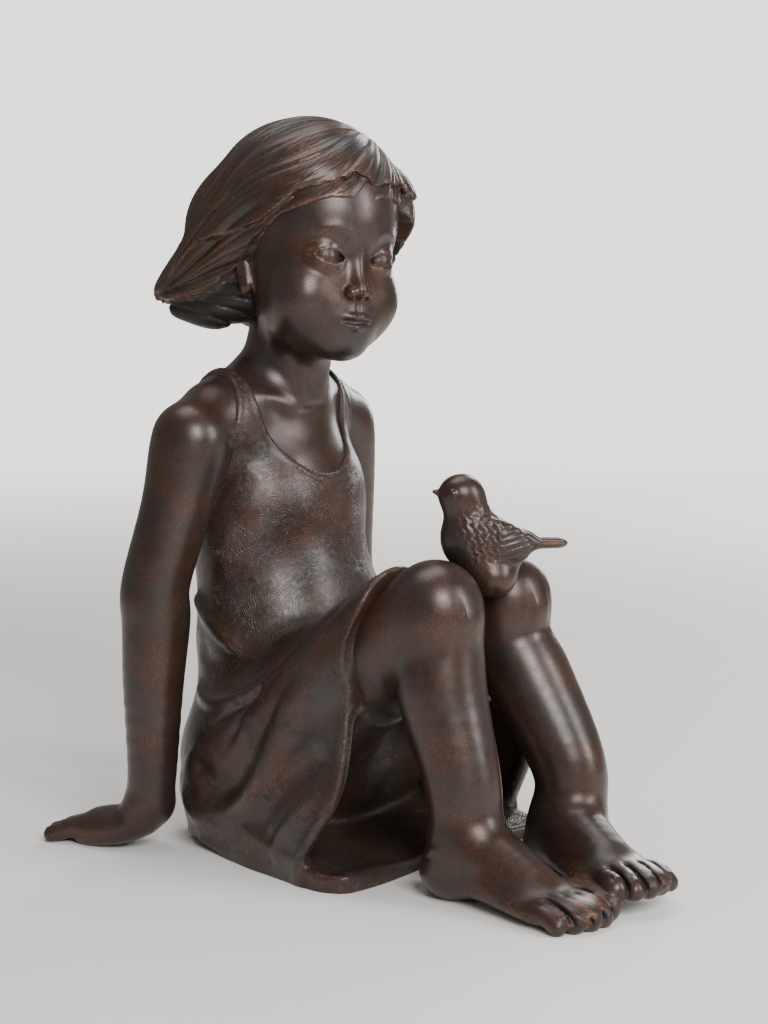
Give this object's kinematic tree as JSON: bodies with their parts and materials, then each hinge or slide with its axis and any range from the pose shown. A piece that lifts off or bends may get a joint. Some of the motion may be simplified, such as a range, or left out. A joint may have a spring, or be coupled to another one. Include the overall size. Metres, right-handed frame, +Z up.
{
  "type": "child and bird statuette",
  "caption": "Seated girl leaning back on her hands with a small bird on her raised knees, cast in one piece with a dark bronze finish.",
  "frame": {"origin": "middle of the figure's bounding box, on the floor it sits on", "axes": "+Z up, the girl faces -Y, +X is her left"},
  "size_m": [0.2683, 0.4044, 0.4499],
  "materials": {
    "bronze_patina": "dark brown bronze patina, satin, with fine red-brown speckle and coppery worn edges"
  },
  "bodies": {
    "root": {"girl_and_bird": "bronze_patina"}
  },
  "joints": []
}
